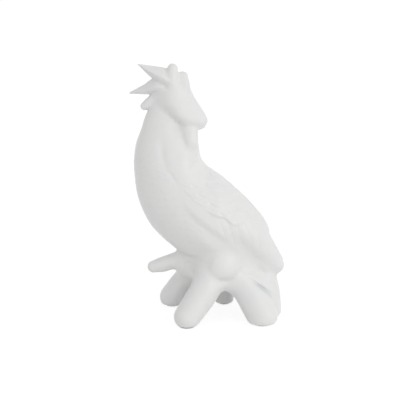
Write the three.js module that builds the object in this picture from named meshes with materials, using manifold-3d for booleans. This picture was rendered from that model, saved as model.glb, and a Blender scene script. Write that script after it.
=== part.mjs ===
// A white slip-cast cockatoo on a cluster of branch stumps, about 300 mm tall.
// The bird faces -X with its head turned back over its shoulder towards +X, and its left side is at -Y.
// It is made as a pottery makes it: thin-walled castings, each cut to sit on those before it and luted on.
// Millimetres, +Z up, origin on the table under the centre of the figure's box.
import * as THREE from "three";
import { mergeVertices } from "three/addons/utils/BufferGeometryUtils.js";
import Module from "manifold-3d";

const wasm = await Module();
wasm.setup();

// Driving dimensions
const WALL = 5; // thickness of a hollow casting
const SEAT_GAP = 0.3; // slip joint between two castings
const BIRD_X = 1.5; // where the bird's own origin stands, so that the whole figurine is centred
const BIRD_Y = 8.1; // its midplane lies back, because the front stumps reach further out than the rear ones
const PAD_THICKNESS = 1.2;
const PAD_CHAMFER = 0.3;
const PAD_SHARE = 0.58; // a pad's radius as a share of its foot's
const VENT_RADIUS = 4; // hole under the branch hub that lets air out in the kiln
const VENT_X = 12;
const KNOB_DOME = 11; // how far the front knob's round end stands out
const WING_DEPTH = 80; // reach of a wing's outline out from the midplane
const FLIGHT_THICKNESS = 3.6; // how far the long wing feathers stand off the body
const FEATHER_EDGE = 1.3; // thickness of a feather layer at its rim
const RIM_WIDTH = 9; // from the rim in to where the layer has its full thickness
const ROW_STEP = 0.9; // how far each row of short feathers stands above the row that it covers
const FEATHER_FALL = [0.662, -0.749]; // the way the wing feathers point, in the side view
const SHOULDER = [-35, 190]; // where the wing springs from, in the side view
const SHOULDER_RISE = [30, 56]; // how far down from there the wing rises to its thickness
const SHOULDER_SHARE = 0.1; // the part of its thickness that it has before that
const PARTING = 1; // the wings end this far from the back's midplane

const GLAZE = { color: 0xf2f2f0, roughness: 0.35, metalness: 0 };
const FELT = { color: 0xd9d8d2, roughness: 0.95, metalness: 0 };

// Solids and geometries

// A closed BufferGeometry as a manifold-3d solid.
function solidOf(geometry) {
  const bare = new THREE.BufferGeometry();
  bare.setAttribute("position", geometry.getAttribute("position"));
  if (geometry.index) bare.setIndex(geometry.index);
  const merged = mergeVertices(bare, 1e-4);
  return new wasm.Manifold(
    new wasm.Mesh({
      numProp: 3,
      vertProperties: merged.getAttribute("position").array,
      triVerts: new Uint32Array(merged.index.array),
    }),
  );
}

// A manifold-3d solid as a BufferGeometry with face normals.
function geometryOf(solid) {
  const mesh = solid.getMesh();
  const positions = new Float32Array(mesh.numVert * 3);
  for (let i = 0; i < mesh.numVert; i++) {
    positions.set(mesh.vertProperties.subarray(i * mesh.numProp, i * mesh.numProp + 3), i * 3);
  }
  const indexed = new THREE.BufferGeometry();
  indexed.setAttribute("position", new THREE.BufferAttribute(positions, 3));
  indexed.setIndex(new THREE.BufferAttribute(mesh.triVerts, 1));
  const flat = indexed.toNonIndexed();
  flat.computeVertexNormals();
  return flat;
}

// The largest body of a solid: a cut can leave a loose crumb behind.
function largestBody(solid) {
  return solid.decompose().reduce((a, b) => (b.volume() > a.volume() ? b : a));
}

// Swept forms

// Each station of a form is [x, y, z, across, wide]: a point of the spine, and the half widths of the
// section there, across in the spine's own plane and wide along the form's flat direction.
// The sections stand square to the spine, or lie level where level is set. With a skew they are eggs,
// fatter on the side that across points to. A form ends in two domes, startDome and endDome long, and
// grow makes the whole form fatter, by so many millimetres or by what it gives for each point.
function sweep(form, grow = 0) {
  const { stations, flat = [0, 1, 0], sides = 20, rings = 12, startDome = 6, endDome = 6 } = form;
  const { roundness = 2, skew = 0 } = form;
  const growAt = typeof grow === "number" ? () => grow : grow;
  const domeGrowth = typeof grow === "number" ? grow : 0;
  const spine = new THREE.CatmullRomCurve3(stations.map((s) => new THREE.Vector3(s[0], s[1], s[2])));
  const widths = new THREE.CatmullRomCurve3(stations.map((s) => new THREE.Vector3(s[3], s[4], 0)));
  const flatDirection = new THREE.Vector3(...flat);
  const domeRings = Math.max(3, Math.round(sides / 6));
  const positions = [];
  const indices = [];

  function tangentAt(t) {
    return form.level ? new THREE.Vector3(0, 0, -1) : spine.getTangent(t);
  }

  // One ring of points, set off along the spine and drawn in by scale where it belongs to a dome.
  function addRing(t, along, scale) {
    const centre = spine.getPoint(t);
    const tangent = tangentAt(t);
    const wideAxis = flatDirection.clone().addScaledVector(tangent, -flatDirection.dot(tangent)).normalize();
    const acrossAxis = new THREE.Vector3().crossVectors(wideAxis, tangent);
    const width = widths.getPoint(t);
    centre.addScaledVector(tangent, along);
    for (let j = 0; j < sides; j++) {
      const angle = (j / sides) * 2 * Math.PI;
      const u = superCos(Math.cos(angle), roundness);
      const w = superCos(Math.sin(angle), roundness) * (1 + skew * u);
      const onForm = (extra) =>
        centre
          .clone()
          .addScaledVector(acrossAxis, (width.x + extra) * scale * u)
          .addScaledVector(wideAxis, (width.y + extra) * scale * w);
      const p = onForm(growAt(onForm(0)));
      positions.push(p.x, p.y, p.z);
    }
  }

  for (let i = 1; i <= domeRings; i++) {
    const turn = (i / domeRings) * (Math.PI / 2);
    addRing(0, -(startDome + domeGrowth) * Math.cos(turn), Math.sin(turn));
  }
  for (let i = 1; i < rings; i++) addRing(i / rings, 0, 1);
  for (let i = domeRings; i >= 1; i--) {
    const turn = (i / domeRings) * (Math.PI / 2);
    addRing(1, (endDome + domeGrowth) * Math.cos(turn), Math.sin(turn));
  }
  const ringCount = positions.length / 3 / sides;
  for (let i = 0; i < ringCount - 1; i++) {
    for (let j = 0; j < sides; j++) {
      const next = (j + 1) % sides;
      const [a, b, c, d] = [i * sides + j, i * sides + next, (i + 1) * sides + next, (i + 1) * sides + j];
      indices.push(a, b, c, a, c, d);
    }
  }
  const startPole = positions.length / 3;
  const first = spine.getPoint(0).addScaledVector(tangentAt(0), -(startDome + domeGrowth));
  const last = spine.getPoint(1).addScaledVector(tangentAt(1), endDome + domeGrowth);
  positions.push(first.x, first.y, first.z, last.x, last.y, last.z);
  const lastRing = (ringCount - 1) * sides;
  for (let j = 0; j < sides; j++) {
    const next = (j + 1) % sides;
    indices.push(startPole, next, j, startPole + 1, lastRing + j, lastRing + next);
  }
  const geometry = new THREE.BufferGeometry();
  geometry.setAttribute("position", new THREE.BufferAttribute(new Float32Array(positions), 3));
  geometry.setIndex(indices);
  return solidOf(geometry);
}

function superCos(value, roundness) {
  return Math.sign(value) * Math.abs(value) ** (2 / roundness);
}

// The hollow inside a form, one wall thickness in.
function cavityOf(form) {
  const coarse = { ...form, sides: 10, rings: Math.ceil(form.rings / 3) };
  return sweep(coarse, -WALL);
}

function box(x0, x1, y0, y1, z0, z1) {
  const geometry = new THREE.BoxGeometry(x1 - x0, y1 - y0, z1 - z0);
  geometry.translate((x0 + x1) / 2, (y0 + y1) / 2, (z0 + z1) / 2);
  return solidOf(geometry);
}

// The forms of the bird

// The torso's sections stay level: each station reads as the side view's left and right edge at that height.
const TORSO = {
  stations: [
    [-51, 0, 262, 14, 9],
    [-50, 0, 252, 19, 13],
    [-48.5, 0, 240, 26, 17.5],
    [-47, 0, 228, 31.5, 22.5],
    [-49, 0, 208, 36.5, 29.5],
    [-48, 0, 188, 40, 34.5],
    [-36.5, 0, 166, 50.5, 39.5],
    [-24.5, 0, 146, 60, 43],
    [-12.5, 0, 127, 65.5, 45],
    [0, 0, 108, 67, 44],
    [11, 0, 90, 61, 40],
    [20, 0, 73, 50, 33],
    [27, 0, 59, 36, 24],
  ],
  level: true,
  sides: 26,
  rings: 20,
  startDome: 8,
  endDome: 9,
};

// The head is turned back along the neck: a long egg, narrow towards the beak's end at +X.
const HEAD = {
  stations: [
    [-38, -2, 283, 11, 11],
    [-38, -2, 276, 14.7, 14],
    [-37, -2, 265, 18.7, 18],
    [-31, -2, 252, 20.7, 21.5],
    [-25.5, -2, 242, 20.8, 22.5],
    [-22.3, -2, 235.5, 19.6, 19],
    [-22.8, -2, 231.5, 17.8, 16],
  ],
  level: true,
  sides: 20,
  rings: 10,
  startDome: 5,
  endDome: 5.5,
  skew: 0.38,
};

// The throat swells out under the turned head, on its left side.
const THROAT = {
  stations: [
    [-22, -6, 236, 9, 9],
    [-21, -13, 224, 8.5, 9],
    [-20.5, -15, 214, 8, 8.5],
    [-19.5, -12, 206, 6, 6],
  ],
  sides: 16,
  rings: 6,
};

// Crest feathers fan from the crown, from the forehead round to the nape: the middle two are the longest,
// and those two are keeled.
const CREST = {
  crest_feather_front: {
    stations: [
      [-33, -2, 250, 6, 6],
      [-31, -4.5, 264, 8.3, 8.3],
      [-30.3, -5.5, 277, 8.2, 8.2],
      [-30.8, -4, 287.5, 6.3, 6],
    ],
  },
  crest_feather_second: {
    stations: [
      [-44, -6, 268, 5, 5],
      [-43.5, -9, 278, 6.6, 6.8],
      [-42.6, -8.5, 288, 7.1, 7.2],
      [-42, -7, 296.8, 5.8, 5.6],
    ],
  },
  crest_feather_third: {
    stations: [
      [-38, -3, 279, 11, 11],
      [-53, -5, 287.5, 10, 12],
      [-66, -4, 293.5, 6.4, 8.5],
      [-80, -4, 300.5, 1.3, 1.3],
    ],
    roundness: 1.3,
    skew: 0.25,
  },
  crest_feather_fourth: {
    stations: [
      [-44, -5, 270, 10, 11],
      [-59, -3, 276, 10, 12],
      [-73, 0, 271.7, 6.4, 8.5],
      [-89.5, 2, 267.5, 1.3, 1.3],
    ],
    roundness: 1.3,
    skew: 0.1,
  },
  crest_feather_nape: {
    stations: [
      [-50, -2, 267, 8, 7],
      [-60, -3, 262.5, 7.2, 6.5],
      [-69, -4, 256.7, 6, 5.5],
      [-75, -4, 252.3, 4.6, 4.2],
    ],
  },
};

const TAIL = {
  stations: [
    [48, -2, 74, 14, 18],
    [62, -3, 56, 13, 19.5],
    [73, -4, 34, 11, 20],
    [79, -4, 5, 8.5, 20],
  ],
  sides: 18,
  rings: 8,
  startDome: 6,
  endDome: 4,
  roundness: 2.6,
};

// The long wing feathers that end in the lobe of the wing tip, on the left side.
const WING_TIP = {
  stations: [
    [28, -29, 122, 14, 9],
    [46, -26, 108, 14, 11],
    [59.5, -19, 89.5, 14, 11.5],
    [72, -12.5, 72, 11.5, 11],
    [80.5, -9, 62, 9, 9],
  ],
  flat: [0.3, -0.9, 0.3],
  sides: 16,
  rings: 10,
  startDome: 8,
  endDome: 9,
};

// Side view of the left wing, as [x, z] points of a closed spline.
const WING_OUTLINE = [
  [-34, 178], [-37, 164], [-33, 145], [-18.5, 128.5], [-2.5, 115], [13, 103], [26, 92], [40, 92], [57, 78],
  [72, 78], [78, 92], [80, 108], [62, 140], [36, 160], [4, 178], [-20, 186],
];

// Rows of short feathers, the lowest first: each row's tips run in the side view from one [x, z] to another.
const COVERT_ROWS = [
  { from: [-14, 141], to: [76, 100], feathers: 7 },
  { from: [-20, 155], to: [70, 117], feathers: 7 },
  { from: [-27, 168], to: [62, 133], feathers: 6 },
];
const TIP_LENGTH = 5; // how far a short feather's round tip reaches out of its row
// A row's outline goes on behind its tips.
const BEHIND_THE_TIPS = [[86, 112], [70, 150], [34, 182], [-10, 196], [-36, 182]];

// The forms of the branches

const HUB = {
  stations: [
    [-28, 4, 58, 11, 14],
    [-13, 2, 57, 17, 24],
    [8, 0, 57, 20, 31],
    [32, -2, 54, 19, 28],
    [50, -3, 48, 13, 18],
  ],
  sides: 16,
  rings: 8,
  startDome: 10,
  endDome: 10,
};

// Stumps run from inside the hub to a rounded foot, which the table plane cuts flat.
const STUMPS = {
  stump_front_left: [
    [6, -22, 63, 20, 20],
    [-5, -35, 40, 17.5, 17.5],
    [-26, -49, 11, 15.8, 15.8],
  ],
  stump_front_right: [
    [30, -18, 56, 18, 18],
    [47.5, -29, 34, 18, 17],
    [62.5, -39.5, 9, 18.5, 17.5],
  ],
  stump_back_left: [
    [-14, 6, 54, 15, 15],
    [-30, 17, 33, 15, 15],
    [-45, 25, 9, 15.5, 15.5],
  ],
  stump_back_middle: [
    [17, 12, 52, 13, 13],
    [18, 23, 28, 12, 12],
    [19, 30, 5, 12, 12],
  ],
};

const FRONT_KNOB = [
  [11, -14, 64, 16, 16],
  [14, -25, 67, 16, 16],
  [17, -37, 69, 15.5, 15.5],
];

const TWIG = [
  [-26, 2, 68, 9.5, 9.5],
  [-40, 4, 64, 9.3, 9],
  [-56, 4, 58.5, 9, 8.5],
  [-67.5, 4, 55.5, 7, 6.8],
];

// A length of branch with a round end. Its flat direction is tilted, because the front ones run along Y.
function branchForm(stations) {
  const endRadius = stations.at(-1)[3];
  return { stations, sides: 14, rings: 6, startDome: 10, endDome: endRadius * 0.95, flat: [0, 1, 0.3] };
}

function featherForm(feather) {
  const tipRadius = feather.stations.at(-1)[3];
  return { ...feather, sides: 12, rings: 7, startDome: 4, endDome: Math.max(3, tipRadius) };
}

function mirrored(form) {
  const flip = ([x, y, z, across, wide]) => [x, -y, z, across, wide];
  return { ...form, stations: form.stations.map(flip), flat: [form.flat[0], -form.flat[1], form.flat[2]] };
}

// The wing's rim as points a few millimetres apart.
const wingRim = new THREE.SplineCurve([...WING_OUTLINE, WING_OUTLINE[0]].map((p) => new THREE.Vector2(...p)))
  .getSpacedPoints(40)
  .slice(0, -1);

// How thick the wing lies on the body at a point that so many rows of short feathers cover. It rises out of
// the shoulder, and in from its rim.
function wingThickness(point, rows) {
  const place = new THREE.Vector2(point.x, point.z);
  const fromRim = Math.min(...wingRim.map((rimPoint) => rimPoint.distanceTo(place)));
  const down = (point.x - SHOULDER[0]) * FEATHER_FALL[0] + (point.z - SHOULDER[1]) * FEATHER_FALL[1];
  const risen = SHOULDER_SHARE + (1 - SHOULDER_SHARE) * THREE.MathUtils.smoothstep(down, ...SHOULDER_RISE);
  const flight = (FLIGHT_THICKNESS - FEATHER_EDGE) * THREE.MathUtils.smoothstep(fromRim, 0, RIM_WIDTH);
  return FEATHER_EDGE + risen * (flight + rows * ROW_STEP);
}

// The side view of a row of short feathers: its round tips in a row, and everything behind them.
function rowOutline({ from, to, feathers }) {
  const steps = 4; // points on one feather's tip
  const points = [];
  for (let i = 0; i <= feathers * steps; i++) {
    const t = i / (feathers * steps);
    const bulge = Math.sqrt(Math.max(0, 1 - (2 * ((i % steps) / steps) - 1) ** 2));
    points.push(
      new THREE.Vector2(
        from[0] + (to[0] - from[0]) * t + TIP_LENGTH * bulge * FEATHER_FALL[0],
        from[1] + (to[1] - from[1]) * t + TIP_LENGTH * bulge * FEATHER_FALL[1],
      ),
    );
  }
  return [...points, ...BEHIND_THE_TIPS.map((p) => new THREE.Vector2(...p))];
}

// A side outline pushed out from the midplane to one side.
function outlineSolid(outline, side) {
  const shape = new THREE.Shape(outline);
  const geometry = new THREE.ExtrudeGeometry(shape, { depth: WING_DEPTH, bevelEnabled: false });
  geometry.rotateX(Math.PI / 2); // the outline's plane turns to XZ, and its depth runs to -Y
  if (side > 0) geometry.translate(0, WING_DEPTH, 0);
  return solidOf(geometry.translate(0, side * PARTING, 0));
}

// The body's own surface grown outwards inside the wing's rim, the rows of short feathers lying on it a step
// higher each, and the long feathers' lobe.
function wing(side) {
  const rim = outlineSolid(wingRim, side);
  const tip = side < 0 ? WING_TIP : mirrored(WING_TIP);
  let feathers = sweep(TORSO, (point) => wingThickness(point, 0));
  COVERT_ROWS.forEach((row, i) => {
    const grown = sweep(TORSO, (point) => wingThickness(point, i + 1));
    feathers = feathers.add(grown.intersect(outlineSolid(rowOutline(row), side)));
  });
  return feathers.intersect(rim).add(sweep(tip));
}

// Assembly

const figurine = new THREE.Group();
const tableTop = box(-200, 200, -200, 200, -60, PAD_THICKNESS + SEAT_GAP);
const hollowForms = {
  torso: TORSO,
  branch_hub: HUB,
  head: HEAD,
  tail: TAIL,
};
for (const [name, stations] of Object.entries(STUMPS)) hollowForms[name] = branchForm(stations);
hollowForms.stump_front_knob = { ...branchForm(FRONT_KNOB), endDome: KNOB_DOME };

const vent = solidOf(
  new THREE.CylinderGeometry(VENT_RADIUS, VENT_RADIUS, 40, 16).rotateX(Math.PI / 2).translate(VENT_X, 0, 40),
);
const soles = box(-200, 200, -200, 200, -60, PAD_THICKNESS + SEAT_GAP + WALL); // the feet stay closed
const hollow = Object.values(hollowForms)
  .map(cavityOf)
  .reduce((a, b) => a.add(b))
  .subtract(soles)
  .add(vent);

const glaze = new THREE.MeshStandardMaterial(GLAZE);
let taken = tableTop; // the table and every casting so far, each grown by the slip joint

// Cuts a casting to sit on the ones before it and adds it to the group.
function addCasting(name, solid, grown) {
  const mesh = new THREE.Mesh(geometryOf(largestBody(solid.subtract(taken))), glaze);
  mesh.name = name;
  figurine.add(mesh);
  taken = taken.add(grown);
}

// The outer surface of a hollow casting, grown all over.
function outsideOf(name, grow) {
  const outside = sweep(hollowForms[name], grow);
  return name === "torso" ? outside.add(sweep(THROAT, grow)) : outside;
}

for (const name of Object.keys(hollowForms)) {
  addCasting(name, outsideOf(name, 0).subtract(hollow), outsideOf(name, SEAT_GAP));
}
const solidForms = { twig: branchForm(TWIG) };
for (const [name, feather] of Object.entries(CREST)) solidForms[name] = featherForm(feather);
for (const [name, form] of Object.entries(solidForms)) {
  addCasting(name, sweep(form), sweep(form, SEAT_GAP));
}
const midplane = box(-200, 200, -PARTING, PARTING, 0, 300);
addCasting("wing_left", wing(-1).subtract(midplane), midplane);
addCasting("wing_right", wing(1).subtract(midplane), midplane);

// Felt pads under the five points that reach the table
const PADDED = {
  pad_front_left: "stump_front_left",
  pad_front_right: "stump_front_right",
  pad_back_left: "stump_back_left",
  pad_back_middle: "stump_back_middle",
  pad_tail: "tail",
};
const felt = new THREE.MeshStandardMaterial(FELT);
for (const [name, foot] of Object.entries(PADDED)) {
  const [x, y, , footRadius] = hollowForms[foot].stations.at(-1);
  const radius = footRadius * PAD_SHARE;
  const profile = [
    [0, 0],
    [radius, 0],
    [radius, PAD_THICKNESS - PAD_CHAMFER],
    [radius - PAD_CHAMFER, PAD_THICKNESS],
    [0, PAD_THICKNESS],
  ].map(([r, z]) => new THREE.Vector2(r, z));
  const pad = new THREE.Mesh(new THREE.LatheGeometry(profile, 16).rotateX(Math.PI / 2), felt);
  pad.name = name;
  pad.position.set(x, y, 0);
  figurine.add(pad);
}

figurine.position.set(BIRD_X, BIRD_Y, 0);
export default figurine;
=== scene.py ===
# A white slip-cast cockatoo on a cluster of branch stumps, glazed, on five felt pads.
# The castings are luted into one smooth skin. So the figurine is worked as one body of clay, in
# millimetres, and then parted along its joints into the pieces that it is cast in.
import math

import bpy
import numpy as np
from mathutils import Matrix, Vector


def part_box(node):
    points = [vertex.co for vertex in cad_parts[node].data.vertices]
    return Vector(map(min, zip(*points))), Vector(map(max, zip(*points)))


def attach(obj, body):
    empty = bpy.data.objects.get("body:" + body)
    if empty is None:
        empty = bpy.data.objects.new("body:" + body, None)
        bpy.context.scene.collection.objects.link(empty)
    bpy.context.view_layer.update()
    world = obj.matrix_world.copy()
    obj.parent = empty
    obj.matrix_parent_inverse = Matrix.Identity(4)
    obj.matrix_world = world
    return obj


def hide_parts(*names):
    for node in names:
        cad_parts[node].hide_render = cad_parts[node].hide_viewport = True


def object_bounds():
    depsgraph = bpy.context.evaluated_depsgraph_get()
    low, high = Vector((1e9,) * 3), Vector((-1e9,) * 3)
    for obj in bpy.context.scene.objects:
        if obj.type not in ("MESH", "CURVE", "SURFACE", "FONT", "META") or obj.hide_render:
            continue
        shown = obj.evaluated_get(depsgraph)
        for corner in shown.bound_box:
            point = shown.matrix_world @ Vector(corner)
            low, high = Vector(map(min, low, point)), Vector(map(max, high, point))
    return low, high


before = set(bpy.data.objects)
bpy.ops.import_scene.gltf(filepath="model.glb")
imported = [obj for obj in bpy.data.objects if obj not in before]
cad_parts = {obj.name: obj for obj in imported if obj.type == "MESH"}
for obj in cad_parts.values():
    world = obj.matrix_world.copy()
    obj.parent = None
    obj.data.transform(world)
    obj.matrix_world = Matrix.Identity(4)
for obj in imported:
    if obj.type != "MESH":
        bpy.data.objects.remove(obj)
cad_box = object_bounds()

MM = 0.001
GRAIN = 1.0  # spacing of the points that the clay is worked on
BATCH = 120000  # points worked on at a time, to spare memory
BIRD = np.array([1.5, 8.1, 0.0])  # where the bird's own origin stands
SOLE = 1.5  # height of the feet's flat undersides, just above the felt
FAR = 60.0  # what a form reads where it is out of reach

# Curves

def curve_through(points, count):
    """A centripetal Catmull-Rom curve through the points. What follows x, y, z is carried along."""
    p = np.asarray(points, float)
    p = np.vstack([2 * p[0] - p[1], p, 2 * p[-1] - p[-2]])
    knots = np.sqrt(np.linalg.norm(np.diff(p[:, :3], axis=0), axis=1))
    rows = []
    for t in np.linspace(0, len(p) - 3, count):
        i = min(int(t), len(p) - 4)
        w = t - i
        a, b, c, d = p[i:i + 4]
        k0, k1, k2 = knots[i:i + 3]
        m1 = ((b - a) / k0 - (c - a) / (k0 + k1) + (c - b) / k1) * k1
        m2 = ((c - b) / k1 - (d - b) / (k1 + k2) + (d - c) / k2) * k1
        rows.append((2 * w**3 - 3 * w**2 + 1) * b + (w**3 - 2 * w**2 + w) * m1
                    + (3 * w**2 - 2 * w**3) * c + (w**3 - w**2) * m2)
    return np.array(rows)


def unit(v):
    """Vectors of length one, the same way."""
    return v / np.maximum(np.linalg.norm(v, axis=-1, keepdims=True), 1e-9)


def ease(t):
    """0 below 0 and 1 above 1, smooth between them."""
    t = np.clip(t, 0, 1)
    return t * t * (3 - 2 * t)


def rises(v, start, over):
    """0 up to start, then eased up to 1 over a distance."""
    return ease((v - start) / over)


def falls(v, end, over):
    """Eased down over a distance from 1 to 0 at the end."""
    return ease((end - v) / over)


class Spine:
    """A line of short straight runs."""

    def __init__(self, points):
        self.points = points
        self.run = np.diff(points, axis=0)
        self.run2 = (self.run**2).sum(1)

    def nearest(self, q):
        """The run that each point is nearest to, and how far along it, from 0 to 1."""
        base = self.points[:-1]
        along = (q @ self.run.T - (base * self.run).sum(1)) / self.run2
        s = np.clip(along, 0, 1)
        gap = (base**2).sum(1) - 2 * q @ base.T + s * self.run2 * (s - 2 * along)
        i = gap.argmin(1)
        return i, s[np.arange(len(q)), i]


# Forms: each says how far a point is outside its surface, less than nothing inside. A station of
# a form is [x, y, z, across, wide]: a place, half its size in the side view and half its depth.

class Thrown:
    """A form of level oval sections, domed at top and bottom.

    With a taper the ovals are eggs, narrower towards +X."""

    def __init__(self, stations, top, bottom, y=0.0, taper=0.0):
        self.y, self.taper = y, taper
        rows = curve_through(stations, 160)
        rows = rows[np.argsort(rows[:, 2])]
        self.z, self.x, self.a, self.b = rows[:, 2], rows[:, 0], rows[:, 3], rows[:, 4]
        self.top, self.bottom = top, bottom
        self.slopes = [np.gradient(v, self.z) for v in (self.x, self.a, self.b)]

    def field(self, p):
        z = np.clip(p[:, 2], self.z[0], self.z[-1])
        x0, a, b = (np.interp(z, self.z, v) for v in (self.x, self.a, self.b))
        dx, da, db = (np.interp(z, self.z, v) for v in self.slopes)
        rise = p[:, 2] - z
        dome = np.where(rise > 0, self.top, self.bottom)
        x, y, h = p[:, 0] - x0, p[:, 1] - self.y, rise / dome
        b = b * (1 - self.taper * np.clip(x / a, -1, 1))
        level = np.sqrt((x / a)**2 + (y / b)**2 + h**2)
        along_the_wall = -(x * dx / a**2 + x**2 * da / a**3 + y**2 * db / b**3)
        climb = np.where(rise == 0, along_the_wall, h / dome)
        steep = np.sqrt((x / a**2)**2 + (y / b**2)**2 + climb**2)
        return level * (level - 1) / np.maximum(steep, 1e-6)


class Rolled:
    """A form rolled out along a spine, its sections square to the spine, domed at both ends.

    Its depth is along flat. A roundness of 2 makes ovals, less makes sections with a ridge, and
    more makes blunt ones. A skew makes one edge thicker than the other."""

    MARGIN = 20  # how far outside its surface a form still reads true

    def __init__(self, stations, start=6, end=6, flat=(0, 1, 0), roundness=2.0, skew=0.0):
        rows = curve_through(stations, 28)
        self.c, self.a, self.b = rows[:, :3], rows[:, 3], rows[:, 4]
        self.t = unit(np.gradient(self.c, axis=0))
        flat = np.array(flat, float)
        self.w = unit(flat - (self.t @ flat)[:, None] * self.t)
        self.u = np.cross(self.w, self.t)
        self.start, self.end, self.roundness, self.skew = start, end, roundness, skew
        self.spine = Spine(self.c)
        size = max(self.a.max(), self.b.max(), start, end) + self.MARGIN
        self.low, self.high = self.c.min(0) - size, self.c.max(0) + size

    def field(self, p):
        out = np.full(len(p), FAR)
        near = np.all((p > self.low) & (p < self.high), axis=1)
        q = p[near]
        if not len(q):
            return out
        i, s = self.spine.nearest(q)

        def here(v):
            return v[i] + (v[i + 1] - v[i]) * (s[:, None] if v.ndim == 2 else s)

        off = q - here(self.c)
        u = (off * here(self.u)).sum(1)
        w = np.abs((off * here(self.w)).sum(1))
        h = (off * here(self.t)).sum(1)
        a, b, n = here(self.a), here(self.b), self.roundness
        b = b * (1 + self.skew * np.clip(u / a, -1, 1))
        u = np.abs(u)
        before = (i == 0) & (s == 0) & (h < 0)
        after = (i == len(self.spine.run) - 1) & (s == 1) & (h > 0)
        h = np.where(before | after, h, 0)
        dome = np.where(h < 0, self.start, self.end)
        section = ((u / a)**n + (w / b)**n)**(1 / n)
        lean = np.hypot(np.maximum(u, 1e-4)**(n - 1) / a**n, np.maximum(w, 1e-4)**(n - 1) / b**n)
        lean = lean * np.maximum(section, 1e-3)**(2 - n)
        level = np.hypot(section, h / dome)
        out[near] = level * (level - 1) / np.maximum(np.hypot(lean, h / dome**2), 1e-6)
        return out


def lute(a, b, fillet):
    """Two forms joined, the joint filled with slip as far as the fillet reaches."""
    h = np.maximum(fillet - np.abs(a - b), 0) / fillet
    return np.minimum(a, b) - h * h * fillet / 4


def trim(a, b, round_off):
    """What a and b have in common, the edge rounded off."""
    return -lute(-a, -b, round_off)


class Line:
    """A tool's stroke: how near a point of the side view is to it, and how far along."""

    def __init__(self, points):
        flat = [(x, z, 0) for x, z in points]
        self.spine = Spine(curve_through(flat, 24)[:, :2])

    def read(self, x, z):
        q = np.stack([x, z], 1)
        i, s = self.spine.nearest(q)
        off = q - self.spine.points[i] - s[:, None] * self.spine.run[i]
        return np.hypot(off[:, 0], off[:, 1]), (i + s) / len(self.spine.run)


def stroke(x, z, line, depth, width, fade):
    """A soft groove along a line, as deep as depth. Its ends fade over a share of its length."""
    gap, along = line.read(x, z)
    ends = ease(along / fade) * ease((1 - along) / fade)
    return depth * np.exp(-(gap / width)**2) * ends


def dab(x, z, at, depth, size, lean=0.0):
    """A soft thumb mark in the side view, turned by the angle. A depth below 0 is a swelling."""
    c, s = math.cos(math.radians(lean)), math.sin(math.radians(lean))
    dx, dz = x - at[0], z - at[1]
    u, v = dx * c + dz * s, dz * c - dx * s
    return depth * np.exp(-(u / size[0])**2 - (v / size[1])**2)


class Outline:
    """The side view of a layer of feathers: how far inside its edge a point is, from a map."""

    STEP = 0.8  # spacing of the map
    MARGIN = 12  # how far the map goes past the edge
    CURVE = 6  # runs from each point of the edge to the next

    def __init__(self, points):
        p = np.array(points, float)
        loop = []
        for i in range(len(p)):
            a, b, c, d = (p[(i + k) % len(p)] for k in (-1, 0, 1, 2))
            for w in np.linspace(0, 1, self.CURVE, endpoint=False):
                loop.append(0.5 * (2 * b + (c - a) * w + (2 * a - 5 * b + 4 * c - d) * w**2
                                   + (3 * b - a - 3 * c + d) * w**3))
        loop = np.array(loop)
        nxt = np.roll(loop, -1, axis=0)
        self.low = loop.min(0) - self.MARGIN
        shape = np.ceil((loop.max(0) + self.MARGIN - self.low) / self.STEP).astype(int) + 1
        ticks = [self.low[k] + self.STEP * np.arange(shape[k]) for k in (0, 1)]
        q = np.stack([side.ravel() for side in np.meshgrid(*ticks, indexing="ij")], 1)
        run = nxt - loop
        run2 = (run**2).sum(1)
        rel = q[:, None, :] - loop[None]
        s = np.clip((rel * run).sum(2) / run2, 0, 1)
        gap = np.linalg.norm(rel - s[..., None] * run, axis=2).min(1)
        above = (loop[:, 1] > q[:, 1:]) != (nxt[:, 1] > q[:, 1:])
        rise = np.where(np.abs(run[:, 1]) < 1e-9, 1e-9, run[:, 1])
        cross = q[:, :1] < loop[:, 0] + (q[:, 1:] - loop[:, 1]) * run[:, 0] / rise
        odd = (above & cross).sum(1) % 2 == 1
        self.map = np.where(odd, gap, -gap).reshape(shape)

    def read(self, x, z):
        u = np.clip((x - self.low[0]) / self.STEP, 0, self.map.shape[0] - 1.001)
        v = np.clip((z - self.low[1]) / self.STEP, 0, self.map.shape[1] - 1.001)
        i, j = u.astype(int), v.astype(int)
        u, v = u - i, v - j
        m = self.map
        return ((m[i, j] * (1 - u) + m[i + 1, j] * u) * (1 - v)
                + (m[i, j + 1] * (1 - u) + m[i + 1, j + 1] * u) * v)


# The bird's forms

TORSO = Thrown([
    [-51, 0, 262.5, 14.6, 9.4],
    [-50.8, 0, 259, 15.2, 9.9],
    [-50, 0, 252, 19, 13],
    [-48.5, 0, 240, 26, 17.5],
    [-47, 0, 228, 31.5, 22.5],
    [-49, 0, 208, 36.5, 29.5],
    [-48, 0, 188, 40, 34.5],
    [-36.5, 0, 166, 50.5, 39.5],
    [-24.5, 0, 146, 60, 43],
    [-12.5, 0, 127, 65.5, 45],
    [0, 0, 108, 67, 44],
    [11, 0, 90, 61, 40],
    [20, 0, 73, 50, 33],
    [27, 0, 59, 36, 24],
], top=8, bottom=9)

HEAD = Thrown([
    [-38, 0, 283, 11, 11],
    [-38, 0, 276, 14.7, 14],
    [-37, 0, 265, 18.7, 18],
    [-31, 0, 252, 20.7, 21.5],
    [-25.3, 0, 242, 21.1, 22.5],
    [-22, 0, 234.8, 20, 19.5],
    [-22.6, 0, 229.6, 18.2, 16],
], top=5, bottom=5.5, y=-2, taper=0.2)

THROAT = Rolled([
    [-23, -8, 235, 9, 9],
    [-22.5, -14.5, 223, 9.5, 9],
    [-21.5, -16, 214, 8.5, 8.5],
    [-20, -13, 206, 6, 6],
])

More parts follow.
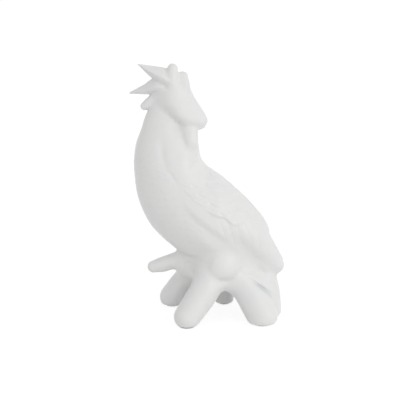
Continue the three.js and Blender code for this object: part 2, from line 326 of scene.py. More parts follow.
TAIL = Rolled([
    [48, -2, 74, 14, 18],
    [62, -3, 56, 13, 19.5],
    [73, -4, 34, 11, 20],
    [79, -4, 5, 8.5, 20],
], start=6, end=4, roundness=2.6)

WING_TIP = Rolled([
    [28, -29, 122, 14, 9],
    [46, -26, 108, 14, 11],
    [59.5, -19, 89.5, 14, 11.5],
    [72, -12.5, 72, 11.5, 11],
    [80.5, -9, 62, 9, 9],
], start=8, end=9, flat=(0.3, -0.9, 0.3))

CREST = {
    "crest_feather_front": Rolled([
        [-33, -3, 250, 6, 6],
        [-31, -6, 264, 8.2, 6.4],
        [-30.3, -7, 277, 8.1, 6.4],
        [-30.8, -5, 287.5, 6.4, 5.2],
    ], start=5, end=5.8, roundness=2.6),
    "crest_feather_second": Rolled([
        [-44, -6, 268, 5, 5],
        [-43.5, -9, 278, 6.6, 6.8],
        [-42.6, -8.5, 288, 7.1, 7.2],
        [-42, -7, 296.8, 5.8, 5.6],
    ], start=6, end=5.8),
    "crest_feather_third": Rolled([
        [-38, -3, 279, 11, 11],
        [-53, -5, 287.5, 10, 12],
        [-66, -4, 293.5, 6.4, 8.5],
        [-80, -4, 300.5, 1.3, 1.3],
    ], start=4, end=3, roundness=1.3, skew=-0.15),
    "crest_feather_fourth": Rolled([
        [-44, -4, 270, 10, 11],
        [-59, -1, 276, 10, 12],
        [-73, 2, 271.7, 6.4, 8.5],
        [-89.5, 4, 267.5, 1.3, 1.3],
    ], start=4, end=3, roundness=1.3, skew=-0.12),
    "crest_feather_nape": Rolled([
        [-50, 0, 267, 8, 7],
        [-60, 0, 262.5, 7.2, 6.5],
        [-69, 0, 256.7, 6, 5.5],
        [-75, 0, 252.3, 4.6, 4.2],
    ], start=4, end=4.6),
}

# Edges of the wings' two layers of feathers in the side view: x, z

FLIGHT_EDGE = Outline([
    (-34, 178), (-37, 164), (-33, 145), (-18.5, 128.5), (-2.5, 115), (13, 103), (26, 92), (40, 92),
    (57, 78), (72, 78), (78, 92), (80, 108), (62, 140), (36, 160), (4, 178), (-20, 186),
])
COVERT_EDGE = Outline([
    (-40, 199), (-45, 190), (-37, 174), (-27, 157), (-12, 144), (2, 133), (9, 130.5), (17, 128.5),
    (25, 121.5), (33, 118.5), (40, 121), (50, 116), (62, 108), (72, 100), (86, 112), (62, 150),
    (34, 175), (14, 177), (0, 185.5), (-13, 195.5), (-27, 203),
])

# The branches' forms

HUB = Rolled([
    [-28, 4, 58, 11, 14],
    [-13, 2, 57, 17, 24],
    [8, 0, 57, 20, 31],
    [32, -2, 54, 19, 28],
    [50, -3, 48, 13, 18],
], start=10, end=10)


def branch(stations, end=None):
    """A stub of a branch. Its end is nearly half a ball, unless the length of its dome is given."""
    return Rolled(stations, start=10, end=end or 0.95 * stations[-1][3], flat=(0, 1, 0.3))


STUMPS = {
    "stump_front_left": branch([
        [6, -22, 63, 20, 20],
        [-5, -35, 40, 17.5, 17.5],
        [-26, -49, 11, 15.8, 15.8],
    ]),
    "stump_front_right": branch([
        [30, -18, 56, 18, 18],
        [47.5, -29, 34, 18, 17],
        [62.5, -39.5, 9, 18.5, 17.5],
    ]),
    "stump_back_left": branch([
        [-14, 6, 54, 15, 15],
        [-30, 17, 33, 15, 15],
        [-45, 25, 9, 15.5, 15.5],
    ]),
    "stump_back_middle": branch([
        [17, 12, 52, 13, 13],
        [18, 23, 28, 12, 12],
        [19, 30, 5, 12, 12],
    ]),
    "stump_front_knob": branch([
        [11, -14, 64, 16, 16],
        [14, -25, 67, 16, 16],
        [17, -37, 69, 15.5, 15.5],
    ], end=9.5),
}
TWIG = branch([
    [-26, 2, 68, 9.5, 9.5],
    [-40, 4, 64, 9.3, 9],
    [-56, 4, 58.5, 9, 8.5],
    [-67.5, 4, 55.5, 7, 6.8],
])

# The modelling tool's strokes in the side view: x, z

THROAT_CREASE = Line([(-39, 235), (-34.5, 226), (-29.5, 215), (-25.5, 206)])
SHOULDER_CREASE = Line([(-54, 212), (-53.5, 202), (-51.5, 192), (-47, 181), (-38, 171)])

# The clay: every form luted together and worked over, as one surface

WING_HEAD = (-35, 190)  # x and z of the shoulder
WING_WAY = (0.662, -0.749)  # from there to the wing's tip
WING_GIRTH = 42  # half the body's depth where the wing lies, for lengths round it
BREAST_MIDDLE = -30  # x of the axis that the breast is round
BREAST_GIRTH = 38
FLIGHT_THICKNESS = 2.5
COVERT_THICKNESS = 1.6
COVERT_RELIEF = 1.15
VANE_RELIEF = 0.45
BREAST_RELIEF = 0.3
TAIL_RELIEF = 0.7
WAVINESS = 0.22

# How far slip fills the joints
WING_TIP_SLIP = 9
THROAT_SLIP = 6
CREST_SLIP = 3
TAIL_SLIP = 10
STUMP_SLIP = 15
TWIG_SLIP = 8

SOLE_ROUND = 3  # rounding of the feet's rims
VENT_X = 12
VENT_RADIUS = 4
VENT_TOP = 48
VENT_ROUND = 1.5
WING_BED = 1.5  # how deep the wings are let into the body
WING_RIM = 1.6  # thickness of feathers at which a wing's casting begins


def on_the_wing(p):
    """A point's place on the wing: how far down it is from the shoulder to the tip, how far round
    the body from the wing's lower edge towards the back, and how far across in the side view."""
    dx, dz = p[:, 0] - WING_HEAD[0], p[:, 2] - WING_HEAD[1]
    down = dx * WING_WAY[0] + dz * WING_WAY[1]
    across = dz * WING_WAY[0] - dx * WING_WAY[1]
    over_the_edge = across + 11 + 0.19 * (down + 7)  # the wing's lower edge runs askew to its way
    turn = np.arctan2(over_the_edge, np.maximum(np.abs(p[:, 1]), 0.01))
    return down, WING_GIRTH * turn, across


def shingles(down, around, length, width, tip, step):
    """Round-tipped feathers in rows, each row over the next one down, proudest at their tips.

    The rows are a length apart and the feathers a width, tip says how far they are rounded and
    step how far the edge of a tip is eased."""
    height = np.zeros(len(down))
    covered = np.zeros(len(down))
    row = np.floor(down / length)
    for k in (row - 1, row, row + 1):
        place = around / width + 0.5 * (k % 2) + 0.2 * np.sin(2.1 * k)
        bend = 1 - (2 * (place - np.floor(place)) - 1)**2
        left = k * length + tip * bend - down
        shown = ease(left / step + 0.5) * (1 - covered)
        height += shown * (0.6 + 0.4 * bend) * np.exp(-np.maximum(left, 0) / (0.5 * length))
        covered = np.maximum(covered, ease(left / step + 0.5))
    return height


def feathers_over(p):
    """How thick the wings' feathers lie on the body at each point: both sides alike."""
    x, y, z = p[:, 0], np.abs(p[:, 1]), p[:, 2]
    down, _, across = on_the_wing(p)
    soft = 9 * rises(across, 4, over=22)  # the edges on the back are softer
    begin = 0.1 + 0.9 * rises(down, 30, over=26)
    finish = 1 - 0.9 * rises(down, 92, over=22) * falls(across, 6, over=14)
    flight = rises(FLIGHT_EDGE.read(x, z), -1.5, over=10 + soft)
    flight = FLIGHT_THICKNESS * flight * begin * finish
    covert = rises(COVERT_EDGE.read(x, z), -1.2, over=4.2 + 0.3 * soft)
    covert = COVERT_THICKNESS * covert * rises(x, -4, over=16)
    parting = 1 - rises(y, 0.6, over=5)  # the line along the back between the wings
    return flight * (1 - 0.65 * parting) + covert * (1 - 0.1 * parting)


def feather_marks(p):
    """The fine relief of the plumage, more than nothing where it stands out."""
    x, y, z = p[:, 0], np.abs(p[:, 1]), p[:, 2]
    down, around, _ = on_the_wing(p)
    wander = 1.3 * np.sin(around / 9 + 1) + 0.8 * np.sin(around / 4.3 + down / 17)
    drift = 1.6 * np.sin(down / 13 + 0.5)
    covert = shingles(down - 0.9 * around + wander, around + drift,
                      length=12.5, width=12, tip=5, step=5.2)
    on_covert = rises(COVERT_EDGE.read(x, z), -0.5, over=4) * rises(down, 14, over=16)
    on_covert = on_covert * falls(down, 96, over=12)
    mark = COVERT_RELIEF * covert * on_covert * falls(around, 64, over=14)
    vanes = np.abs(np.sin(np.pi * (around + 0.16 * down) / 7.5))**0.6 - 0.6
    low_wing = rises(FLIGHT_EDGE.read(x, z), 1, over=5) * rises(down, 72, over=16)
    low_wing = low_wing * rises(around, 2, over=8)
    mark += VANE_RELIEF * vanes * low_wing * (1 - on_covert)
    turn = BREAST_GIRTH * np.arctan2(y, -(x - BREAST_MIDDLE))
    sway = 1.2 * np.sin(turn / 8 + 0.6) + 0.9 * np.sin(z / 11)
    breast = shingles(sway - z, turn + 1.5 * np.sin(z / 15),
                      length=8.5, width=9.5, tip=3.6, step=2.4)
    breast = BREAST_RELIEF * breast * rises(z, 84, over=14) * falls(z, 228, over=30)
    return mark + breast * falls(around, 6, over=12)


def tooled(p):
    """What the tool takes off the bird at each point, more than nothing where it cuts in."""
    x, y, z = p[:, 0], np.abs(p[:, 1]), p[:, 2]
    # The hollow under the head, and the throat's crease that runs down from it
    cut = dab(x, z, at=(-38, 231), depth=3.2, size=(7, 9.5), lean=25)
    cut += stroke(x, z, THROAT_CREASE, depth=1.3, width=3.6, fade=0.3)
    # The shoulder's crease, deeper at its top and its foot, and the swell of the shoulder behind it
    cut += stroke(x, z, SHOULDER_CREASE, depth=0.6, width=4.0, fade=0.5)
    cut += dab(x, z, at=(-54, 206), depth=1.3, size=(5, 12))
    cut += dab(x, z, at=(-42, 175.5), depth=1.1, size=(3.2, 8), lean=34)
    cut += dab(x, z, at=(-25, 195), depth=-2.6, size=(15, 18), lean=-40)
    # The swell of the thigh, and the fold under the belly
    cut += dab(x, z, at=(-2, 99), depth=-1.8, size=(20, 8), lean=-40)
    cut += dab(x, z, at=(-20, 74.5), depth=3.2, size=(10, 4.2))
    on_the_flank = rises(y, 4, over=10)
    return cut * on_the_flank - feather_marks(p)


def base_marks(p):
    """What is pressed into the near side of the base: the slit beside the tail, the hollow above
    it, and the fold under the front knob."""
    x, z = p[:, 0], p[:, 2]
    cut = dab(x, z, at=(57.2, 44.2), depth=3.4, size=(3.0, 17), lean=49)
    cut += dab(x, z, at=(61.5, 58), depth=2.2, size=(11, 5.5), lean=-35)
    cut += dab(x, z, at=(15, 52.5), depth=1.4, size=(12, 4))
    return cut * falls(p[:, 1], -8, over=10)


def tail_vanes(p):
    """Long shallow grooves between the feathers of the tail, on its back."""
    groove = 1 - np.abs(np.sin(np.pi * (p[:, 1] + 4) / 8.2))**0.5
    return TAIL_RELIEF * groove * rises(p[:, 0], 66, over=9) * falls(p[:, 2], 62, over=14)


def uneven(p):
    """The slight waviness that a hand leaves on clay."""
    x, y, z = p.T
    return WAVINESS * (np.sin(x / 6.1 + 1.3) * np.sin(y / 7.3 + 0.4) * np.sin(z / 8.9 + 2.1)
                       + np.sin(x / 11.7 + y / 9.1) * np.sin(z / 13.3 - y / 15.1 + 0.8))


def fields_at(p):
    """Every casting's own form at the points, before any are luted."""
    near_side = p.copy()
    near_side[:, 1] = -np.abs(p[:, 1])
    forms = {"torso": TORSO, "branch_hub": HUB, "head": HEAD, "tail": TAIL, "twig": TWIG}
    fields = {name: form.field(p) for name, form in {**forms, **STUMPS, **CREST}.items()}
    fields["wing_tip"] = WING_TIP.field(near_side)
    return fields


def clay(p, fields=None):
    """How far each point of the bird's frame is outside the finished clay."""
    x, y, z = p.T
    f = fields or fields_at(p)
    bird = lute(f["torso"] - feathers_over(p), f["wing_tip"], WING_TIP_SLIP)
    bird = lute(bird, THROAT.field(p), THROAT_SLIP)
    head_slip = 2.5 + 12.5 * rises(z, 238, over=24)  # crisp under the beak, soft at the crown
    bird = lute(bird, f["head"], head_slip)
    for name in CREST:
        bird = lute(bird, f[name], CREST_SLIP)
    bird = bird + tooled(p)
    bird = lute(bird, f["tail"] + tail_vanes(p), TAIL_SLIP)
    base = f["branch_hub"]
    knob_slip = 3.5 + 4.5 * rises(z, 54, over=16)  # crisp below, soft above
    for name in STUMPS:
        base = lute(base, f[name], knob_slip if name == "stump_front_knob" else STUMP_SLIP)
    base = lute(base, f["twig"], TWIG_SLIP)
    base_slip = 10 + 7 * rises(x, 28, over=20)  # softer towards the tail
    whole = lute(bird, base, base_slip) + uneven(p) + base_marks(p)
    whole = trim(whole, SOLE - z, SOLE_ROUND)
    vent = np.hypot(x - VENT_X, y) - VENT_RADIUS
    return trim(whole, -np.maximum(vent, z - VENT_TOP), VENT_ROUND)


# The castings in the order that they are luted together
CASTINGS = ["torso", "branch_hub", "head", "tail", *STUMPS, "twig", *CREST, "wing_left",
            "wing_right"]


def owner_of(p, fields):
    """The casting that each point inside the clay belongs to: each one sits on those before it,
    and the wings go before all. A point in slip alone goes to the nearest form."""
    bed = -WING_BED - fields["torso"]
    slab = np.maximum(bed, WING_RIM - feathers_over(p))
    wing = np.minimum(slab, np.maximum(fields["wing_tip"], bed))
    stack = [fields[name] for name in CASTINGS[:-2]]
    stack += [np.where(p[:, 1] < 0, wing, FAR), np.where(p[:, 1] >= 0, wing, FAR)]
    stack = np.stack(stack)
    owner = stack.argmin(0)
    for i in range(len(CASTINGS) - 3, -1, -1):
        owner[stack[i] < 0] = i
    owner[stack[-2] < 0] = len(CASTINGS) - 2
    owner[stack[-1] < 0] = len(CASTINGS) - 1
    return owner


def in_batches(p, work):
    """The work done on the points, a batch at a time."""
    return np.concatenate([work(p[i:i + BATCH]) for i in range(0, len(p), BATCH)])


def slope(p, step=0.3):
    """The way out of the clay at each point, longer where the reading climbs faster."""
    g = np.empty_like(p)
    for k in range(3):
        d = np.zeros(3)
        d[k] = step
        g[:, k] = (clay(p + d) - clay(p - d)) / (2 * step)
    return g


# Parting the clay into its castings. It is read on a grid of points, each of which gets the number
# of its casting, or 0 for air. Wherever the numbers change there is a face, of skin against air and
# of a joint's wall between two castings.

STRIDE = 4  # the grid's points to one of the rough grid's
NEAR_CLAY = 6  # how many grains away the rough grid still notices clay
SETTLING_TURNS = 2
POOL_AND_SHADE_REACH = 3.5  # a hollow whose walls are nearer than this holds a thicker, cooler glaze, and is darkened there as painted shade
BOX_GAP = 0.02  # the skin stays this far inside the CAD's box

low = np.array(cad_box[0]) / MM - BIRD
high = np.array(cad_box[1]) / MM - BIRD
origin = low - 2 * GRAIN
shape = np.ceil((high - low) / GRAIN).astype(int) + 5


def grid_points(index):
    return origin + GRAIN * index


def rough_reading(fine):
    """The clay at the grid's points, each as the rough grid's nearest point reads it."""
    rough_shape = shape // STRIDE + 2
    rough = np.indices(rough_shape).reshape(3, -1).T * STRIDE
    value = in_batches(grid_points(rough), clay).reshape(rough_shape)
    return value[tuple(((fine + STRIDE // 2) // STRIDE).T)]


def read_grid():
    """The clay at the grid's points, and the number of the casting that each one belongs to."""
    fine = np.indices(shape).reshape(3, -1).T
    guess = rough_reading(fine)
    value = np.where(guess > 0, FAR, -FAR).astype(np.float32)
    owner = np.zeros(len(fine), np.int8)
    todo = np.flatnonzero(guess < NEAR_CLAY * GRAIN)
    for i in range(0, len(todo), BATCH):
        part = todo[i:i + BATCH]
        q = grid_points(fine[part])
        fields = fields_at(q)
        v = clay(q, fields)
        value[part] = v
        owner[part] = np.where(v < 0, owner_of(q, fields) + 1, 0)
    return value.reshape(shape), owner.reshape(shape)


CORNERS = [(a, b, c) for a in (0, 1) for b in (0, 1) for c in (0, 1)]


def mixed_cells(owner):
    """Which of the grid's cells have corners of more than one number."""
    mixed = np.zeros(tuple(shape - 1), bool)
    for d in CORNERS[1:]:
        there = owner[tuple(slice(k, n - 1 + k) for k, n in zip(d, shape))]
        mixed |= there != owner[:-1, :-1, :-1]
    return mixed


def cell_points(cells, value, owner):
    """A point in each cell, amid the places where its edges change number; where some of them are
    on the skin, amid those alone. Also says which points are on the skin."""
    skin_sum, wall_sum = np.zeros((2, len(cells), 3))
    skin_count, wall_count = np.zeros((2, len(cells)))
    for d in CORNERS:
        for axis in range(3):
            if d[axis]:
                continue
            e = list(d)
            e[axis] = 1
            a, b = tuple((cells + d).T), tuple((cells + e).T)
            va, vb, oa, ob = value[a], value[b], owner[a], owner[b]
            out = (oa == 0) != (ob == 0)
            t = np.clip(np.where(out, va / np.where(va == vb, 1, va - vb), 0.5), 0, 1)
            at = cells + np.array(d, float)
            at[:, axis] += t
            skin_sum += at * out[:, None]
            skin_count += out
            inner = (oa != ob) & ~out
            wall_sum += at * inner[:, None]
            wall_count += inner
    on_skin = skin_count > 0
    place = np.where(on_skin[:, None], skin_sum / np.maximum(skin_count, 1)[:, None],
                     wall_sum / np.maximum(wall_count, 1)[:, None])
    return grid_points(place), on_skin


# The four cells round an edge of the grid, for each way that the edge can run
ROUND_THE_EDGE = [
    [(0, -1, -1), (0, 0, -1), (0, 0, 0), (0, -1, 0)],
    [(-1, 0, -1), (-1, 0, 0), (0, 0, 0), (0, 0, -1)],
    [(-1, -1, 0), (0, -1, 0), (0, 0, 0), (-1, 0, 0)],
]


def spanning_faces(owner, point_of):
    """A face round each edge of the grid whose ends differ, once for each casting that it bounds,
    and for each face the numbers of its own side and of the side that it faces."""
    quads, facing = [], []
    for axis, ways in enumerate(ROUND_THE_EDGE):
        a = [slice(1, n - 1) for n in shape]
        b = list(a)
        b[axis] = slice(2, shape[axis])
        oa, ob = owner[tuple(a)], owner[tuple(b)]
        at = np.argwhere(oa != ob)
        oa, ob = oa[tuple(at.T)], ob[tuple(at.T)]
        at = at + 1
        ring = np.stack([point_of[tuple((at + d).T)] for d in ways], 1)
        quads += [ring, ring[:, ::-1]]
        facing += [np.stack([oa, ob], 1), np.stack([ob, oa], 1)]
    quads, facing = np.concatenate(quads), np.concatenate(facing)
    return quads[facing[:, 0] > 0], facing[facing[:, 0] > 0]


def settle(place, skin, skin_quads):
    """Evens out the points of the skin, and draws them back onto the clay each time."""
    for _ in range(SETTLING_TURNS):
        pull = np.zeros_like(place)
        count = np.zeros(len(place))
        for k in range(4):
            for other in (1, 3):
                np.add.at(pull, skin_quads[:, k], place[skin_quads[:, (k + other) % 4]])
                np.add.at(count, skin_quads[:, k], 1)
        place[skin] += 0.5 * (pull[skin] / np.maximum(count[skin], 1)[:, None] - place[skin])
        g = in_batches(place[skin], slope)
        v = in_batches(place[skin], clay)
        move = -v[:, None] * g / np.maximum((g**2).sum(1), 0.2)[:, None]
        reach = np.linalg.norm(move, axis=1)
        place[skin] += move * np.minimum(1, GRAIN / np.maximum(reach, 1e-9))[:, None]


value, owner = read_grid()
mixed = mixed_cells(owner)
cells = np.argwhere(mixed)
point_of = np.full(mixed.shape, -1, np.int32)
point_of[mixed] = np.arange(len(cells))
place, on_skin = cell_points(cells, value, owner)
quads, facing = spanning_faces(owner, point_of)
skin = np.flatnonzero(on_skin)
settle(place, skin, quads[facing[:, 1] == 0])
way_out = np.zeros_like(place)
way_out[skin] = unit(in_batches(place[skin], slope))
# How closely walled in each point of the skin is. It sets where the glaze pools and where painted
# shade darkens the glaze's colour.
pooled_and_shaded = np.zeros(len(place))
off_skin = in_batches(place[skin] + POOL_AND_SHADE_REACH * way_out[skin], clay)
pooled_and_shaded[skin] = falls(off_skin, POOL_AND_SHADE_REACH, over=POOL_AND_SHADE_REACH)
place = (np.clip(place, low + BOX_GAP, high - BOX_GAP) + BIRD) * MM


def part_mesh(name, number):
    """One casting's closed mesh, shaded as the whole skin is, so that its joints don't show."""
    mine = facing[:, 0] == number
    faces, outer = quads[mine], facing[mine, 1] == 0
    used, faces = np.unique(faces, return_inverse=True)
    faces = faces.reshape(-1, 4)
    mesh = bpy.data.meshes.new(name)
    mesh.vertices.add(len(used))
    mesh.vertices.foreach_set("co", place[used].astype(np.float32).ravel())
    mesh.loops.add(faces.size)
    mesh.loops.foreach_set("vertex_index", faces.ravel().astype(np.int32))
    mesh.polygons.add(len(faces))
    mesh.polygons.foreach_set("loop_start", np.arange(0, faces.size, 4, dtype=np.int32))
    mesh.update(calc_edges=True)
    mesh.polygons.foreach_set("use_smooth", np.ones(len(faces), bool))
    edge_of = np.empty(faces.size, np.int32)
    mesh.loops.foreach_get("edge_index", edge_of)
    skin_faces = np.bincount(edge_of, np.repeat(outer, 4), len(mesh.edges))
    all_faces = np.bincount(edge_of, minlength=len(mesh.edges))
    mesh.edges.foreach_set("use_edge_sharp", (skin_faces > 0) & (skin_faces < all_faces))
    at = place[used][faces]
    flat = unit(np.cross(at[:, 2] - at[:, 0], at[:, 3] - at[:, 1]))
    normals = np.where(outer[:, None, None], way_out[used][faces], flat[:, None, :])
    mesh.normals_split_custom_set(normals.reshape(-1, 3).tolist())
    # The hollows' reading, carried to the glaze: thicker pooled glaze there, and painted shade.
    pool_and_shade_layer = mesh.attributes.new("pooled_and_shaded", "FLOAT", "POINT")
    pool_and_shade_layer.data.foreach_set("value", pooled_and_shaded[used].astype(np.float32))
    return mesh


def add_object(name, data):
    """An object of the data, placed in the scene."""
    thing = bpy.data.objects.new(name, data)
    bpy.context.scene.collection.objects.link(thing)
    return thing


# Materials, and trees of nodes in general

class Socket:
    """An output of a node. Sums on sockets add the Math nodes that they need."""

    def __init__(self, node, output=0):
        self.node = node
        self.output = node.outputs[output]

    def __getitem__(self, output):
        return Socket(self.node, output)

    def add_node(self, kind, settings=None, sockets=None, output=0):
        return add_node(self.node.id_data, kind, settings, sockets, output)

    def maths(self, operation, *values):
        return self.add_node("ShaderNodeMath", {"operation": operation}, dict(enumerate(values)))

    def __add__(self, other):
        return self.maths("ADD", self, other)

    def __sub__(self, other):
        return self.maths("SUBTRACT", self, other)

    def __mul__(self, other):
        return self.maths("MULTIPLY", self, other)

    def __rsub__(self, other):
        return self.maths("SUBTRACT", other, self)

    __radd__ = __add__

    def most(self, other):
        return self.maths("MAXIMUM", self, other)

    def ramp(self, start, end):
        """0 up to start and 1 from end, smooth between them."""
        return self.add_node("ShaderNodeMapRange", {"interpolation_type": "SMOOTHSTEP"},
                             {"Value": self, "From Min": start, "From Max": end})


def add_node(tree, kind, settings=None, sockets=None, output=0):
    """Adds a node with its settings made first, then its sockets' values or links."""
    node = tree.nodes.new(kind)
    for name, setting in (settings or {}).items():
        setattr(node, name, setting)
    for name, value in (sockets or {}).items():
        if isinstance(value, Socket):
            tree.links.new(value.output, node.inputs[name])
        else:
            node.inputs[name].default_value = value
    return Socket(node, output) if node.outputs else node


def blend(share, first, second):
    """A colour between two others."""
    return share.add_node("ShaderNodeMix", {"data_type": "RGBA"}, {0: share, 6: first, 7: second},
                          output=2)


def new_material(name):
    material = bpy.data.materials.new(name)
    material.use_nodes = True
    material.node_tree.nodes.clear()
    return material, material.node_tree


def noise(place, scale, detail=2.0, roughness=0.5):
    settings = {"Vector": place, "Scale": scale, "Detail": detail, "Roughness": roughness}
    return place.add_node("ShaderNodeTexNoise", None, settings)


def ray_seen(tree):
    """1 where the camera sees a thing, straight, in a reflection or through glass, and 0 where the
    thing only lights others."""
    ray = add_node(tree, "ShaderNodeLightPath")
    return ray["Is Camera Ray"].most(ray["Is Glossy Ray"]).most(ray["Is Transmission Ray"])


GLAZE_THIN = (0.845, 0.845, 0.838, 1)
# The glaze's tint in hollows: a cooler pooled glaze, made darker as painted shade.
GLAZE_POOLED_SHADE = (0.74, 0.752, 0.758, 1)
GLAZE_CLOUD = (0.81, 0.816, 0.812, 1)
FELT_LIGHT = (0.72, 0.70, 0.66, 1)
FELT_SHADE = (0.55, 0.53, 0.49, 1)
PAPER = (0.80, 0.80, 0.80, 1)
PAPER_GRAIN = (0.84, 0.84, 0.84, 1)
PAPER_GLOW = 0.72  # share of the paper that is glow to the camera; the rest takes the shadow
GLOW_STRENGTH = 1.2


def white_glaze():
    """A satin white glaze: cooler and darker in hollows, where the glaze pools and shade is painted
    into its colour, faintly mottled, with a hand-dipped waviness.
    """
    material, tree = new_material("white_glaze")
    place = add_node(tree, "ShaderNodeTexCoord", output="Object")
    pooled_and_shaded = add_node(tree, "ShaderNodeAttribute", {"attribute_name": "pooled_and_shaded"}, output="Fac")
    mottle = noise(place, 24, detail=3)
    cloud = noise(place, 70, detail=4, roughness=0.6)
    peel = noise(place, 620, detail=2)
    # Painted shade: the colour is darkened towards the pooled tint in hollows, mixed with the
    # glaze's random mottle.
    thickness_and_shade = (pooled_and_shaded.ramp(0.12, 0.9) * 0.8 + (mottle - 0.5) * 0.35).ramp(0, 1)
    colour = blend(thickness_and_shade, GLAZE_THIN, GLAZE_POOLED_SHADE)
    colour = blend(cloud.ramp(0.48, 0.75) * 0.5, colour, GLAZE_CLOUD)
    bump = add_node(tree, "ShaderNodeBump", None,
                    {"Height": peel * 0.25 + cloud, "Strength": 0.5, "Distance": 0.12 * MM})
    shader = add_node(tree, "ShaderNodeBsdfPrincipled", None, {
        "Base Color": colour,
        "Roughness": 0.34 + (mottle - 0.5) * 0.25 - thickness_and_shade * 0.06,
        "Normal": bump,
        "Coat Weight": 0.12 + cloud * 0.12,
        "Coat Roughness": 0.22,
        "IOR": 1.5,
    })
    add_node(tree, "ShaderNodeOutputMaterial", None, {"Surface": shader})
    return material


def felt():
    """Pressed wool felt: off-white, matt, with tangled fibres."""
    material, tree = new_material("felt")
    place = add_node(tree, "ShaderNodeTexCoord", output="Object")
    tangle = noise(place, 900, detail=5, roughness=0.7)
    strands = place.add_node("ShaderNodeTexVoronoi", {"feature": "DISTANCE_TO_EDGE"},
                             {"Vector": place, "Scale": 1400, "Randomness": 1.0}, output="Distance")
    colour = blend(tangle.ramp(0.3, 0.7), FELT_SHADE, FELT_LIGHT)
    weave = tangle + strands.ramp(0, 0.3) * 0.6
    bump = add_node(tree, "ShaderNodeBump", None,
                    {"Height": weave, "Strength": 0.8, "Distance": 0.25 * MM})
    shader = add_node(tree, "ShaderNodeBsdfPrincipled", None, {
        "Base Color": colour,
        "Roughness": 0.9 + tangle * 0.1,
        "Normal": bump,
        "Sheen Weight": 0.4,
        "Sheen Roughness": 0.5,
    })
    add_node(tree, "ShaderNodeOutputMaterial", None, {"Surface": shader})
    return material


def white_paper():
    """The sheet that the figurine stands on. It takes the shadow, and shows near white."""
    material, tree = new_material("white_paper")
    place = add_node(tree, "ShaderNodeTexCoord", output="Object")
    colour = blend(noise(place, 300, detail=3), PAPER, PAPER_GRAIN)
    paper = add_node(tree, "ShaderNodeBsdfDiffuse", None, {"Color": colour})
    glow = add_node(tree, "ShaderNodeEmission", None,
                    {"Color": (1, 1, 1, 1), "Strength": GLOW_STRENGTH})
    both = add_node(tree, "ShaderNodeMixShader", None,
                    {0: ray_seen(tree) * PAPER_GLOW, 1: paper, 2: glow})
    add_node(tree, "ShaderNodeOutputMaterial", None, {"Surface": both})
    return material


# The castings

glaze = white_glaze()
for number, name in enumerate(CASTINGS, 1):
    piece = add_object("glazed_" + name, part_mesh("glazed_" + name, number))
    piece.data.materials.append(glaze)
    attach(piece, "root")
    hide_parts(name)

# The felt pads, with the fibres that stand out round their rims

FIBRE_LENGTH = 0.7 * MM
FIBRE_THICKNESS = 0.06 * MM
FIBRES_PER_AREA = 6e6  # on a square metre of rim
FIBRE_TIP = 0.1  # a fibre's thickness at its tip, to that at its root
FIBRE_LEAN = 0.7  # most that a fibre leans each way, in radians
LEAST_FIBRE = 0.4  # size of the smallest fibre, to the largest
RIM_TILT = 0.75  # faces whose normals rise less than this belong to the rim
PAD_ROUND = 0.25 * MM
PAD_ROUND_STEPS = 4
PAD_SIDES = 64
TABLE_GAP = 0.02 * MM  # least height of a fibre, so that none goes into the table


def nap_tree():
    """Fibres scattered over a pad's rim, and the pad itself."""
    tree = bpy.data.node_groups.new("felt_nap", "GeometryNodeTree")
    ways_in = {"Pad": "Geometry", "Length": "Float", "Thickness": "Float", "Density": "Float",
               "Fibres": "Material"}
    for name, kind in ways_in.items():
        tree.interface.new_socket(name, in_out="INPUT", socket_type="NodeSocket" + kind)
    tree.interface.new_socket("Pad", in_out="OUTPUT", socket_type="NodeSocketGeometry")
    given = add_node(tree, "NodeGroupInput")
    facing = add_node(tree, "GeometryNodeInputNormal")
    level = add_node(tree, "ShaderNodeSeparateXYZ", None, {"Vector": facing}, output="Z")
    rim = level.maths("LESS_THAN", level.maths("ABSOLUTE", level), RIM_TILT)
    spots = add_node(tree, "GeometryNodeDistributePointsOnFaces", None, {
        "Mesh": given["Pad"], "Selection": rim, "Density": given["Density"], "Seed": 7,
    }, output="Points")
    hair = add_node(tree, "GeometryNodeMeshCone", {"fill_type": "NGON"}, {
        "Vertices": 4,
        "Radius Top": given["Thickness"] * FIBRE_TIP,
        "Radius Bottom": given["Thickness"],
        "Depth": given["Length"],
    }, output="Mesh")
    least, most = (-FIBRE_LEAN, -FIBRE_LEAN, 0.0), (FIBRE_LEAN, FIBRE_LEAN, 6.28)
    tilt = add_node(tree, "FunctionNodeRandomValue", {"data_type": "FLOAT_VECTOR"},
                    {0: least, 1: most, "Seed": 3}, output=0)
    lean = add_node(tree, "FunctionNodeEulerToRotation", None, {"Euler": tilt})
    turned = add_node(tree, "FunctionNodeRotateRotation", {"rotation_space": "LOCAL"},
                      {"Rotation": spots["Rotation"], "Rotate By": lean})
    size = add_node(tree, "FunctionNodeRandomValue", {"data_type": "FLOAT"},
                    {2: LEAST_FIBRE, 3: 1.0, "Seed": 11}, output=1)
    fibres = add_node(tree, "GeometryNodeInstanceOnPoints", None,
                      {"Points": spots, "Instance": hair, "Rotation": turned, "Scale": size})
    solid = add_node(tree, "GeometryNodeRealizeInstances", None, {"Geometry": fibres})
    both = add_node(tree, "GeometryNodeJoinGeometry", None, {"Geometry": given["Pad"]})
    tree.links.new(solid.output, both.node.inputs["Geometry"])
    where = add_node(tree, "GeometryNodeInputPosition")
    parts = add_node(tree, "ShaderNodeSeparateXYZ", None, {"Vector": where})
    lifted = add_node(tree, "ShaderNodeCombineXYZ", None,
                      {"X": parts["X"], "Y": parts["Y"], "Z": parts["Z"].most(TABLE_GAP)})
    placed = add_node(tree, "GeometryNodeSetPosition", None, {"Geometry": both, "Position": lifted})
    dressed = add_node(tree, "GeometryNodeSetMaterial", None,
                       {"Geometry": placed, "Material": given["Fibres"]})
    add_node(tree, "NodeGroupOutput", None, {"Pad": dressed})
    return tree


